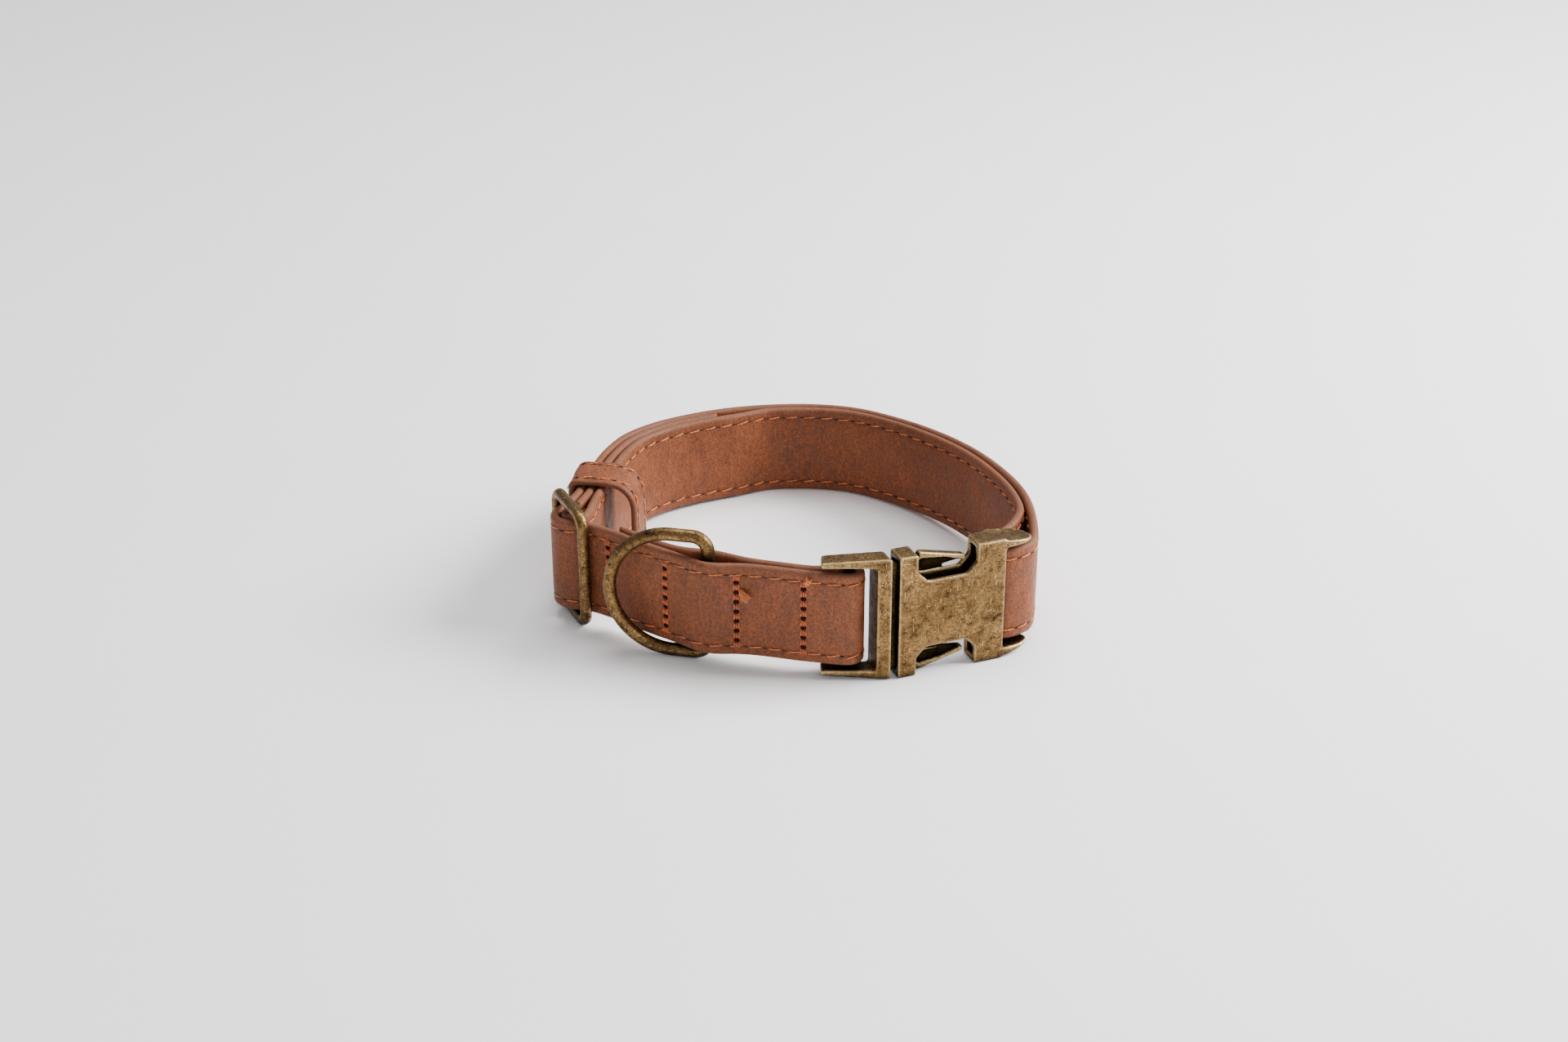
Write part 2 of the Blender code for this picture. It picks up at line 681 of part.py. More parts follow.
def make_female(group, helpers, brass):
    """Hollow box that takes the prongs, a face plate, two arms and the bar for the strap."""
    top = BUCKLE_HEIGHT
    footprint = [
        complex(0, 0),
        complex(FEMALE_LENGTH, 0),
        complex(FEMALE_LENGTH, FEMALE_WALL),
        complex(FEMALE_BOX_LENGTH, FEMALE_WALL),
        complex(FEMALE_BOX_LENGTH, FEMALE_DEPTH),
        complex(0, FEMALE_DEPTH),
    ]
    female = piece("buckle_female", slab_mesh("buckle_female", footprint, 0, top), group, brass)

    def add(name, mesh, operation):
        combine(female, helper(name, mesh, helpers), operation)

    nose = (FEMALE_LENGTH, FEMALE_ARM_REACH, FEMALE_NOSE_TAPER)
    low_arm = slab_mesh("female_arm_low", arm_outline(), 0, BUCKLE_ARM_HEIGHT)
    add("female_arm_low", taper(low_arm, *nose, 0, None), "UNION")
    high_arm = slab_mesh("female_arm_high", arm_outline(), top - BUCKLE_ARM_HEIGHT, top)
    add("female_arm_high", taper(high_arm, *nose, None, top), "UNION")
    bar_ends = [
        (FEMALE_BAR_SPOT.real, FEMALE_BAR_SPOT.imag, BUCKLE_ARM_HEIGHT / 2),
        (FEMALE_BAR_SPOT.real, FEMALE_BAR_SPOT.imag, top - BUCKLE_ARM_HEIGHT / 2),
    ]
    add("female_bar", wire_mesh("female_bar", bar_ends, BUCKLE_BAR_RADIUS), "UNION")
    far = FEMALE_BOX_LENGTH - FEMALE_WALL
    cavity = box_outline(-CUT_PAST, far, FEMALE_WALL, FEMALE_DEPTH - FEMALE_WALL)
    add("female_cavity", slab_mesh("female_cavity", cavity, FEMALE_WALL, top - FEMALE_WALL), "DIFFERENCE")
    start = CUTOUT_START
    end = CUTOUT_START + CUTOUT_LENGTH
    shoulder = CUTOUT_HEIGHT - CUTOUT_CORNER
    for name, edge, side in (("cutout_low", 0, 1), ("cutout_high", top, -1)):
        outline = [
            (start, edge - side * CUT_PAST),
            (start, edge + side * shoulder),
            (start + CUTOUT_CORNER, edge + side * CUTOUT_HEIGHT),
            (end - CUTOUT_CORNER, edge + side * CUTOUT_HEIGHT),
            (end, edge + side * shoulder),
            (end, edge - side * CUT_PAST),
        ]
        cut = front_slab_mesh(name, outline, -CUT_PAST, FEMALE_DEPTH + CUT_PAST)
        add(name, cut, "DIFFERENCE")
    return stand(apply_cuts(female), FEMALE_ORIGIN, FEMALE_TURN)


def main():
    for old in list(bpy.data.objects):
        bpy.data.objects.remove(old)
    group = collection("dog_collar")
    helpers = collection("cutters", hidden=True)
    leather = finish("brown_leather", (0.25, 0.085, 0.04), 0.0, 0.7)
    brass = finish("antique_brass", (0.32, 0.22, 0.09), 1.0, 0.4)
    make_strap(group, leather)
    make_keeper(group, leather)
    make_slider(group, helpers, brass)
    make_ring(group, brass)
    make_male(group, helpers, brass)
    make_female(group, helpers, brass)


main()
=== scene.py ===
"""Looks of a stitched leather dog collar with antique brass hardware.

Metres, +Z up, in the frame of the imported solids. Lengths named in millimetres are turned by MM.
"""

import json
import math

import bmesh
import bpy
import numpy as np
from bpy.props import FloatProperty, FloatVectorProperty, IntProperty, PointerProperty
from mathutils import Matrix, Vector


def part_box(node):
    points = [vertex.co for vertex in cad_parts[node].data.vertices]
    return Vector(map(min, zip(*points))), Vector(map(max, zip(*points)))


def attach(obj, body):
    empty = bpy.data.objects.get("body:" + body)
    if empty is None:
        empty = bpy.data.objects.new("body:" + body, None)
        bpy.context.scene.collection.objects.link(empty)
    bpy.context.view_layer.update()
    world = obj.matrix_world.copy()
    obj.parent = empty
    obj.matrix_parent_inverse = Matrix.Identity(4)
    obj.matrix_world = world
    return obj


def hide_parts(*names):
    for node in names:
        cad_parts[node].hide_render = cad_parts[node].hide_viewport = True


bl_info = {
    "name": "Leather dog collar",
    "version": (1, 0, 0),
    "blender": (4, 5, 0),
    "location": "View3D > Sidebar > Collar",
    "description": "Strap, keeper, stitching, rings and buckle of a leather dog collar",
    "category": "Object",
}

MM = 0.001
UP = Vector((0, 0, 1))

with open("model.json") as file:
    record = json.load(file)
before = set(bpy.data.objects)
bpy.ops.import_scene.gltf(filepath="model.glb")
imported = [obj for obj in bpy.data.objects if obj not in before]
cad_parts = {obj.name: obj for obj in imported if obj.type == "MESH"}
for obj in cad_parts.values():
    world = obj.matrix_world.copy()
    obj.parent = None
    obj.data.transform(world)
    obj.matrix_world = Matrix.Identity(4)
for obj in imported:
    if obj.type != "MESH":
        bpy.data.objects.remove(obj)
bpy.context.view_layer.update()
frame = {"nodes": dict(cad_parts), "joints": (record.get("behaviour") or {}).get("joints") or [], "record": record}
NODES = frame["nodes"]
RECORD = frame["record"]


# Colours


def linear(code):
    """An sRGB hex colour as linear values."""
    channels = [int(code[i : i + 2], 16) / 255 for i in (1, 3, 5)]
    return tuple(c / 12.92 if c <= 0.04045 else ((c + 0.055) / 1.055) ** 2.4 for c in channels)


def colour_property(name, text, code):
    return FloatVectorProperty(
        name=name, description=text, subtype="COLOR", size=3, min=0, max=1, default=linear(code)
    )


def length_property(name, text, millimetres):
    return FloatProperty(
        name=name, description=text, subtype="DISTANCE", unit="LENGTH", default=millimetres * MM
    )


# Settings that a user would change


class CollarLeatherSettings(bpy.types.PropertyGroup):
    width: length_property("Width", "Width of the strap", 25)
    thickness: length_property("Thickness", "Thickness of the folded leather", 2.2)
    groove: length_property("Groove", "Depth of the furrow that the seam pulls", 0.22)
    ring_step: length_property("Step", "Distance between cross-sections of the strap", 0.8)
    wander: length_property("Wander", "How far the hand-cut edges wander", 0.12)
    keeper_edge: length_property("Keeper seam inset", "Keeper's seams to its edges", 2.1)
    dark: colour_property("Dark leather", "Oily, rubbed parts", "#66381f")
    middle: colour_property("Leather", "Main tone", "#723e23")
    light: colour_property("Light leather", "Dry, pulled-up parts", "#7d4729")
    edge: colour_property("Rolled edge", "Greyish tone of the rolled edges", "#6c4532")


class CollarStitchSettings(bpy.types.PropertyGroup):
    inset: length_property("Inset", "Seam to the strap's edge", 2.7)
    pitch: length_property("Pitch", "Length of one stitch", 4.9)
    thread: length_property("Thread", "Thickness of the seam's thread", 0.42)
    slant: FloatProperty(
        name="Slant", description="Turn of each stitch", subtype="ANGLE", default=math.radians(7)
    )
    tack_pitch: length_property("Tack pitch", "Length of one stitch across the tab", 2.65)
    tack_thread: length_property("Tack thread", "Thickness of the thread across the tab", 0.85)
    seed: IntProperty(name="Seed", description="Picks the small turns of the stitches", default=4)
    colour: colour_property("Thread", "Seam's thread", "#c96f36")
    tack_colour: colour_property("Tack thread", "Thread of the rows across the tab", "#a44c20")
    # The holes' colour is painted shade: the shadow inside each needle hole
    hole: colour_property("Holes", "Needle holes", "#1d0d08")


class CollarBrassSettings(bpy.types.PropertyGroup):
    grain: length_property("Grain", "Size of the faces that the cast buckle is remade with", 0.24)
    rounding: IntProperty(name="Rounding", description="Rounds of smoothing of the cast edges", default=42)
    ring_wire: length_property("Ring wire", "Thickness of the ring's wire", 3.3)
    slider_wire: length_property("Slider wire", "Thickness of the slider's frame", 3.0)
    slider_bar: length_property("Slider bar", "Thickness of the slider's middle bar", 2.5)
    brass: colour_property("Brass", "Rubbed brass", "#7e603a")
    patina: colour_property("Patina", "Dark antiquing", "#2e2114")
    # Colour of the specks, scratches and bright edges; the bright edges are partly a painted highlight
    worn: colour_property("Worn brass", "Bright edges and scratches", "#e2c68e")


class CollarStageSettings(bpy.types.PropertyGroup):
    floor: colour_property("Floor", "Pale table", "#fbf8f7")
    camera_away: length_property("Camera distance", "Camera to the collar's middle, in plan", 561.3)
    camera_height: length_property("Camera height", "Height of the camera", 296.2)
    camera_side: length_property("Camera side", "Camera to the collar's middle, sideways", -2.2)
    pitch: FloatProperty(
        name="Pitch", description="How far the camera looks down", subtype="ANGLE",
        default=math.radians(26.56),
    )
    lens: FloatProperty(name="Lens", description="Focal length in mm", default=55.0)


# Small helpers for meshes


def new_object(name, mesh):
    made = bpy.data.objects.new(name, mesh)
    bpy.context.scene.collection.objects.link(made)
    return made


def merged_shape(node):
    """A CAD node's mesh as a bmesh, with its loose triangles joined."""
    shape = bmesh.new()
    shape.from_mesh(NODES[node].data)
    bmesh.ops.remove_doubles(shape, verts=shape.verts, dist=2e-6)
    return shape


def merged_copy(node, name):
    """A node's solid as a new object, with flat faces whole."""
    shape = merged_shape(node)
    bmesh.ops.dissolve_limit(shape, angle_limit=math.radians(0.5), verts=shape.verts, edges=shape.edges)
    mesh = bpy.data.meshes.new(name)
    shape.to_mesh(mesh)
    shape.free()
    return new_object(name, mesh)


def plain_mesh(made):
    """Turns an object's modifiers or its curve into plain mesh, keeping its name."""
    bpy.context.view_layer.update()
    graph = bpy.context.evaluated_depsgraph_get()
    mesh = bpy.data.meshes.new_from_object(made.evaluated_get(graph))
    name = made.name
    bpy.data.objects.remove(made)
    mesh.name = name
    return new_object(name, mesh)


def joined(name, objects):
    """One object from several meshes, which are removed."""
    shape = bmesh.new()
    for made in objects:
        shape.from_mesh(made.data)
        bpy.data.objects.remove(made)
    mesh = bpy.data.meshes.new(name)
    shape.to_mesh(mesh)
    shape.free()
    return new_object(name, mesh)


def smooth_faces(made, angle=None):
    made.data.shade_smooth()
    if angle is not None:
        made.data.set_sharp_from_angle(angle=math.radians(angle))


def dress(made, material, body="root", replaces=()):
    """Gives a finished piece its material and its place in the frame."""
    made.data.materials.clear()
    made.data.materials.append(material)
    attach(made, body)
    if replaces:
        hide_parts(*replaces)


# Lines read from the solids


def strip_line(node, axis):
    """Middle line of the narrow strip of a swept solid's faces that look along an axis."""
    shape = merged_shape(node)
    strip = {face for face in shape.faces if face.normal.dot(axis) > 0.9}
    rungs = {}
    for edge in shape.edges:
        faces = [face for face in edge.link_faces if face in strip]
        if len(faces) == 2:
            rungs[edge] = faces
    ends = [face for face in strip if sum(edge in rungs for edge in face.edges) == 1]
    face = ends[0] if ends else next(iter(sorted(strip, key=lambda f: f.index)))
    points = []
    seen = set()
    while True:
        ahead = [edge for edge in face.edges if edge in rungs and edge not in seen]
        if not ahead:
            break
        edge = ahead[0]
        seen.add(edge)
        a, b = edge.verts
        points.append((a.co + b.co) / 2)
        face = rungs[edge][0] if rungs[edge][1] is face else rungs[edge][1]
    shape.free()
    return np.array(points)


def lengths(points):
    steps = np.linalg.norm(np.diff(points, axis=0), axis=1)
    return np.concatenate([[0.0], np.cumsum(steps)])


def evenly(points, step):
    along = lengths(points)
    count = max(2, round(along[-1] / step) + 1)
    places = np.linspace(0, along[-1], count)
    return np.stack([np.interp(places, along, points[:, k]) for k in range(3)], axis=1)


def smoothed(points, step, rounds, closed=False):
    """Even points whose corners are eased by a running average."""
    fine = evenly(points, step)
    if closed:
        fine = fine[:-1]
    for _ in range(rounds):
        before, after = np.roll(fine, 1, axis=0), np.roll(fine, -1, axis=0)
        eased = 0.25 * before + 0.5 * fine + 0.25 * after
        if not closed:
            eased[0], eased[-1] = fine[0], fine[-1]
        fine = eased
    return fine


def sides_of(points, up, closed=False):
    """Level directions to the left of a line."""
    if closed:
        ahead = np.roll(points, -1, axis=0) - np.roll(points, 1, axis=0)
    else:
        ahead = np.gradient(points, axis=0)
    side = np.cross(up, ahead)
    return side / np.linalg.norm(side, axis=1)[:, None]


# Leather bands


def band_profile(width, thickness, inset, groove):
    """Cross-section of folded leather: rolled edges, and a furrow along each seam.

    Columns: across the thickness, up the width, and how deep the furrow is there.
    """
    roll = thickness / 2
    arc = [(roll * math.sin(a), roll * (1 - math.cos(a))) for a in np.linspace(0, math.pi / 2, 6)[1:]]
    flat = [0.55, 0.75, 0.9, 1.0, 1.1, 1.25, 1.5, 2.2, 3.2]
    rise = [(roll, inset * share) for share in flat if roll < inset * share < width / 2]
    half = [(0.0, 0.0)] + arc + rise + [(roll, width / 2)]
    rows = []
    for across, height in half:
        depth = math.exp(-(((height - inset) / (0.17 * inset)) ** 2)) * groove
        rows.append((across, height - width / 2, depth))
    upper = [(a, -b, d) for a, b, d in rows[-2::-1]]
    right = rows + upper
    left = [(-a, b, -d) for a, b, d in right[-2:0:-1]]
    return np.array(right + left)


def swept_band(name, centre, side, up, profile, pucker, closed=False, wander=0.0):
    """A leather band along a line. Pucker holds the furrow's depth at each section, 0 to 1."""
    count, around = len(centre), len(profile)
    along = np.arange(count)[:, None]
    across = profile[:, 0] - profile[:, 2] * pucker[:, None]
    height = profile[:, 1] + 0 * across
    drift = wander * (np.sin(along * 0.045 + 1.3) + 0.6 * np.sin(along * 0.131 + 0.4)) / 1.6
    height = height + drift * np.abs(height) / np.abs(profile[:, 1]).max() * 0.7
    if not closed:
        for k, share in enumerate((0.55, 0.85, 0.97)):
            across[k] *= share
            across[-1 - k] *= share
    points = centre[:, None] + across[..., None] * side[:, None] + height[..., None] * up
    rings = count if closed else count - 1
    i, j = np.meshgrid(np.arange(rings), np.arange(around), indexing="ij")
    nxt, beside = (i + 1) % count, (j + 1) % around
    quads = np.stack([i * around + j, nxt * around + j, nxt * around + beside, i * around + beside], -1)
    faces = [tuple(quad) for quad in quads.reshape(-1, 4).tolist()]
    if not closed:
        faces.append(tuple(range(around)))
        faces.append(tuple(reversed(range((count - 1) * around, count * around))))
    mesh = bpy.data.meshes.new(name)
    mesh.from_pydata(points.reshape(-1, 3).tolist(), [], faces)
    edge = np.abs(profile[:, 1]) / np.abs(profile[:, 1]).max()
    attribute = mesh.attributes.new("across", "FLOAT", "POINT")
    attribute.data.foreach_set("value", np.tile(edge, count).astype(np.float32))
    shape = bmesh.new()
    shape.from_mesh(mesh)
    bmesh.ops.recalc_face_normals(shape, faces=shape.faces)
    shape.to_mesh(mesh)
    shape.free()
    mesh.shade_smooth()
    return new_object(name, mesh)


def strap_line():
    """Points up the middle of the strap, from the tab's edge to the loose tail, and their sides."""
    settings = bpy.context.scene.collar_leather
    line = strip_line("strap", UP)
    if line[0][1] > line[-1][1]:
        line = line[::-1]
    line = smoothed(line, settings.ring_step, 2)
    line[:, 2] -= settings.width / 2
    return line, sides_of(line, np.array(UP))


def keeper_line():
    """Points round the keeper loop, the directions out of it, and its axis along the strap."""
    middle = np.array([sum(pair) / 2 for pair in zip(*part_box("keeper_loop"))])
    line, side = strap_line()
    near = int(np.argmin(np.linalg.norm((line - middle)[:, :2], axis=1)))
    axis = np.cross(side[near], np.array(UP))
    ring = strip_line("keeper_loop", Vector(axis))
    ring = np.concatenate([ring, ring[:1]])
    ring = ring - np.outer((ring - middle) @ axis, axis)
    ring = smoothed(ring, 0.7 * MM, 3, closed=True)
    out = sides_of(ring, axis, closed=True)
    if np.einsum("ij,ij->i", ring - ring.mean(axis=0), out).mean() < 0:
        out = -out
    return ring, out, axis


# Materials


def add_node(tree, kind, inputs=None, **settings):
    """Adds a node with its settings. An input is a value, or a socket that is linked to it."""
    made = tree.nodes.new(kind)
    for name, value in settings.items():
        setattr(made, name, value)
    for name, value in (inputs or {}).items():
        if isinstance(value, bpy.types.NodeSocket):
            tree.links.new(value, made.inputs[name])
        else:
            made.inputs[name].default_value = value
    return made


def new_material(name):
    material = bpy.data.materials.new(name)
    material.use_nodes = True
    tree = material.node_tree
    tree.nodes.clear()
    coords = tree.nodes.new("ShaderNodeTexCoord").outputs["Object"]
    return material, tree, coords


def finish_material(tree, inputs):
    shader = add_node(tree, "ShaderNodeBsdfPrincipled", inputs)
    add_node(tree, "ShaderNodeOutputMaterial", {"Surface": shader.outputs["BSDF"]})
    return shader


def noise(tree, coords, size, detail=3.0, rough=0.5, stretch=None):
    """Noise whose features are about size metres across, longer along an axis where stretched."""
    if stretch is not None:
        coords = add_node(tree, "ShaderNodeMapping", {"Vector": coords, "Scale": stretch}).outputs[0]
    inputs = {"Vector": coords, "Scale": 1 / size, "Detail": detail, "Roughness": rough}
    return add_node(tree, "ShaderNodeTexNoise", inputs).outputs["Fac"]


def ramp(tree, factor, stops):
    """A colour ramp from (place, colour) stops."""
    made = add_node(tree, "ShaderNodeValToRGB", {"Fac": factor})
    elements = made.color_ramp.elements
    while len(elements) < len(stops):
        elements.new(0.5)
    for element, (place, colour) in zip(elements, stops):
        element.position = place
        element.color = (*colour, 1) if not isinstance(colour, float) else (colour,) * 3 + (1,)
    return made.outputs["Color"]


def mix(tree, factor, a, b, blend="MIX"):
    made = add_node(tree, "ShaderNodeMix", data_type="RGBA", blend_type=blend, clamp_factor=True)
    for socket, value in ((made.inputs[0], factor), (made.inputs[6], a), (made.inputs[7], b)):
        if isinstance(value, bpy.types.NodeSocket):
            tree.links.new(value, socket)
        elif isinstance(value, tuple):
            socket.default_value = (*value, 1)
        else:
            socket.default_value = value
    return made.outputs[2]


def bump(tree, height, depth, strength=1.0, normal=None):
    inputs = {"Height": height, "Distance": depth, "Strength": strength}
    if normal is not None:
        inputs["Normal"] = normal
    return add_node(tree, "ShaderNodeBump", inputs).outputs["Normal"]


def oiled_nubuck():
    """Buffed, waxed cowhide: a soft nap with no gloss, darker where rubbed, pale where it is bent."""
    colours = bpy.context.scene.collar_leather
    material, tree, coords = new_material("oiled_nubuck")
    dark, middle, light = tuple(colours.dark), tuple(colours.middle), tuple(colours.light)
    clouds = noise(tree, coords, 24 * MM, 3, 0.5)
    base = ramp(tree, clouds, [(0.22, dark), (0.5, middle), (0.78, light)])
    smudges = noise(tree, coords, 5 * MM, 4, 0.62)
    base = mix(tree, 0.75, base, ramp(tree, smudges, [(0.36, 0.80), (0.62, 1.12)]), "MULTIPLY")
    # The nap is about 0.1 mm, drawn at 0.4 to 0.8 mm so that it shows
    nap = noise(tree, coords, 0.55 * MM, 3, 0.75)
    base = mix(tree, 1.0, base, ramp(tree, nap, [(0.38, 0.62), (0.62, 1.34)]), "MULTIPLY")
    brushed = noise(tree, coords, 0.8 * MM, 3, 0.65, stretch=(1, 1, 0.18))
    base = mix(tree, 0.8, base, ramp(tree, brushed, [(0.36, 0.82), (0.64, 1.14)]), "MULTIPLY")
    across = add_node(tree, "ShaderNodeAttribute", attribute_name="across").outputs["Fac"]
    # Painted shade: the colour is darker along each seam's furrow, where shade falls in the groove
    furrow = ramp(tree, across, [(0.72, 1.0), (0.785, 0.62), (0.84, 1.0)])
    base = mix(tree, 0.9, base, furrow, "MULTIPLY")
    rolled = ramp(tree, across, [(0.90, 0.0), (0.985, 1.0)])
    patchy = mix(tree, 1.0, rolled, ramp(tree, smudges, [(0.36, 0.35), (0.62, 0.9)]), "MULTIPLY")
    base = mix(tree, patchy, base, tuple(colours.edge))
    pores = add_node(tree, "ShaderNodeTexVoronoi", {"Vector": coords, "Scale": 1 / (0.8 * MM)})
    normal = bump(tree, pores.outputs["Distance"], 0.10 * MM, 0.4)
    normal = bump(tree, nap, 0.16 * MM, 0.6, normal)
    normal = bump(tree, smudges, 0.6 * MM, 0.4, normal)
    finish_material(
        tree,
        {
            "Base Color": base,
            "Roughness": ramp(tree, smudges, [(0.36, 0.48), (0.62, 0.66)]),
            "Normal": normal,
            "Specular IOR Level": 0.25,
            "Sheen Weight": 0.08,
            "Sheen Roughness": 0.4,
            "Sheen Tint": (*light, 1),
        },
    )
    return material


def bonded_thread(name, colour):
    """Waxed polyester thread: smooth plies that catch a small highlight."""
    material, tree, coords = new_material(name)
    strands = add_node(
        tree,
        "ShaderNodeTexWave",
        {"Vector": coords, "Scale": 1 / (6 * 0.35 * MM), "Distortion": 1.5},
        bands_direction="DIAGONAL",
    )
    plies = ramp(tree, strands.outputs["Fac"], [(0.2, 0.72), (0.7, 1.1)])
    wear = ramp(tree, noise(tree, coords, 7 * MM), [(0.35, 0.75), (0.65, 1.15)])
    base = mix(tree, 1.0, mix(tree, 1.0, tuple(colour), plies, "MULTIPLY"), wear, "MULTIPLY")
    normal = bump(tree, strands.outputs["Fac"], 0.12 * MM, 0.6)
    finish_material(tree, {"Base Color": base, "Roughness": 0.42, "Normal": normal})
    return material


def needle_hole():
    """Painted shade inside a punched hole: dull leather coloured near black for the shadow in it."""
    material, tree, coords = new_material("needle_hole")
    colour = tuple(bpy.context.scene.collar_stitch.hole)
    speck = ramp(tree, noise(tree, coords, 0.6 * MM), [(0.35, 0.6), (0.7, 1.6)])
    base = mix(tree, 1.0, colour, speck, "MULTIPLY")
    finish_material(tree, {"Base Color": base, "Roughness": 0.9, "Specular IOR Level": 0.1})
    return material


def antique_brass():
    """Brass-plated cast zinc, oxidised dark and then tumbled: worn bright on edges, specked on flats. The bright
    edges are partly a painted highlight, and the colour carries painted shade in hollows.
    """
    colours = bpy.context.scene.collar_brass
    material, tree, coords = new_material("worn_antique_brass")
    brass, patina, worn = tuple(colours.brass), tuple(colours.patina), tuple(colours.worn)
    blotches = noise(tree, coords, 2.2 * MM, 9, 0.8)
    middle = tuple((2 * b + p) / 3 for b, p in zip(brass, patina))
    base = ramp(tree, blotches, [(0.36, patina), (0.47, middle), (0.57, brass), (0.66, brass)])
    clouds = noise(tree, coords, 8 * MM, 3, 0.5)
    base = mix(tree, 0.85, base, ramp(tree, clouds, [(0.36, 0.66), (0.64, 1.12)]), "MULTIPLY")
    pits = noise(tree, coords, 0.6 * MM, 4, 0.85)
    base = mix(tree, 1.0, base, ramp(tree, pits, [(0.38, 0.30), (0.5, 1.06)]), "MULTIPLY")
    specks = noise(tree, coords, 0.36 * MM, 3, 0.8)
    dots = mix(tree, 1.0, ramp(tree, specks, [(0.58, 0.0), (0.66, 1.0)]), ramp(tree, clouds, [(0.45, 0.1), (0.62, 0.9)]), "MULTIPLY")
    base = mix(tree, dots, base, worn)
    for stretch in ((1, 1, 0.07), (0.09, 0.09, 1)):
        scratch = noise(tree, coords, 0.24 * MM, 2, 0.6, stretch=stretch)
        line = ramp(tree, scratch, [(0.67, 0.0), (0.73, 0.6)])
        base = mix(tree, line, base, worn)
    # Bright edges: brass rubbed bright by tumbling, and partly a painted highlight along the edges
    bends = tree.nodes.new("ShaderNodeNewGeometry").outputs["Pointiness"]
    rubbed = ramp(tree, bends, [(0.506, 0.0), (0.545, 1.0)])
    rubbed = mix(tree, 1.0, rubbed, ramp(tree, pits, [(0.38, 0.35), (0.56, 0.95)]), "MULTIPLY")
    # Wire keeps its tone: only cast pieces have edges that tumbling rubs bright, and that brightness is partly a
    # painted highlight
    cast_part = add_node(tree, "ShaderNodeAttribute", attribute_name="cast").outputs["Fac"]
    rubbed = mix(tree, 1.0, rubbed, cast_part, "MULTIPLY")
    base = mix(tree, rubbed, base, worn)
    # Patina and painted shade: the colour darkens where the surface is sheltered, for the dark oxide in the
    # hollows and for the shade that falls there
    patina_and_painted_shade = add_node(tree, "ShaderNodeAmbientOcclusion", {"Distance": 4.0 * MM}, samples=8).outputs["AO"]
    base = mix(tree, 1.0, base, ramp(tree, patina_and_painted_shade, [(0.42, 0.05), (0.85, 1.0)]), "MULTIPLY")
    # Painted shade: near black on the floors of the prongs' hollows, which lie in shadow
    recess = add_node(tree, "ShaderNodeAttribute", attribute_name="recess").outputs["Fac"]
    base = mix(tree, 1.0, base, ramp(tree, recess, [(0.0, 1.0), (1.0, 0.07)]), "MULTIPLY")
    normal = bump(tree, blotches, 0.05 * MM, 0.4)
    normal = bump(tree, pits, 0.025 * MM, 0.4, normal)
    finish_material(
        tree,
        {
            "Base Color": base,
            "Metallic": 1.0,
            "Roughness": ramp(tree, blotches, [(0.38, 0.55), (0.6, 0.33)]),
            "Normal": normal,
        },
    )
    return material


def material_named(name, maker, *values):
    """The material of that name, made the first time that it is asked for."""
    return bpy.data.materials.get(name) or maker(*values)


def leather():
    return material_named("oiled_nubuck", oiled_nubuck)


def brass():
    return material_named("worn_antique_brass", antique_brass)


# Strap and keeper


class COLLAR_OT_strap(bpy.types.Operator):
    """Lay the strap along the line of its solid, with rolled edges and seam furrows"""

    bl_idname = "collar.strap"
    bl_label = "Strap"

    def execute(self, context):
        settings = context.scene.collar_leather
        stitch = context.scene.collar_stitch
        line, side = strap_line()
        profile = band_profile(settings.width, settings.thickness, stitch.inset, settings.groove)
        pucker = 0.7 + 0.3 * np.cos(2 * math.pi * lengths(line) / stitch.pitch)
        strap = swept_band(
            "leather_strap", line, side, np.array(UP), profile, pucker, wander=settings.wander
        )
        dress(strap, leather(), replaces=["strap"])
        return {"FINISHED"}


class COLLAR_OT_keeper(bpy.types.Operator):
    """Bend the keeper loop from a narrow strip of the same leather"""

    bl_idname = "collar.keeper"
    bl_label = "Keeper loop"

    def execute(self, context):
        settings = context.scene.collar_leather
        ring, side, axis = keeper_line()
        width = np.ptp(np.array([v.co for v in NODES["keeper_loop"].data.vertices]) @ axis)
        profile = band_profile(width, 1.6 * MM, settings.keeper_edge, 0.15 * MM)
        pucker = np.ones(len(ring))
        keeper = swept_band("leather_keeper", ring, side, axis, profile, pucker, closed=True)
        dress(keeper, leather(), replaces=["keeper_loop"])
        return {"FINISHED"}


# Stitches


def capsule_mesh(name, length, radius, arch, sides=6, sections=7, strands=1, spread=0.0):
    """Thread of one stitch: an arched, tapered capsule along X, or several side by side."""
    shape = bmesh.new()
    for strand in range(strands):
        offset = (strand - (strands - 1) / 2) * spread
        rings = []
        for t in np.linspace(-1, 1, sections):
            thick = radius * math.sqrt(max(0.04, 1 - t**4))
            middle = Vector((t * length / 2, offset, arch * (1 - t * t) - 0.35 * radius * abs(t)))
            turns = [2 * math.pi * k / sides for k in range(sides)]
            rings.append(
                [shape.verts.new(middle + Vector((0, math.cos(a), math.sin(a))) * thick) for a in turns]
            )
        for first, second in zip(rings[:-1], rings[1:]):
            for k in range(sides):
                after = (k + 1) % sides
                shape.faces.new((first[k], first[after], second[after], second[k]))
        shape.faces.new(list(reversed(rings[0])))
        shape.faces.new(rings[-1])
    bmesh.ops.recalc_face_normals(shape, faces=shape.faces)
    mesh = bpy.data.meshes.new(name)
    shape.to_mesh(mesh)
    shape.free()
    mesh.shade_smooth()
    return mesh


def hole_mesh(name, length, width, depth):
    """Low lens, coloured with painted shade, that reads as a needle hole."""
    shape = bmesh.new()
    bmesh.ops.create_uvsphere(shape, u_segments=10, v_segments=6, radius=1)
    bmesh.ops.scale(shape, verts=shape.verts, vec=(length / 2, width / 2, depth))
    mesh = bpy.data.meshes.new(name)
    shape.to_mesh(mesh)
    shape.free()
    mesh.shade_smooth()
    return mesh


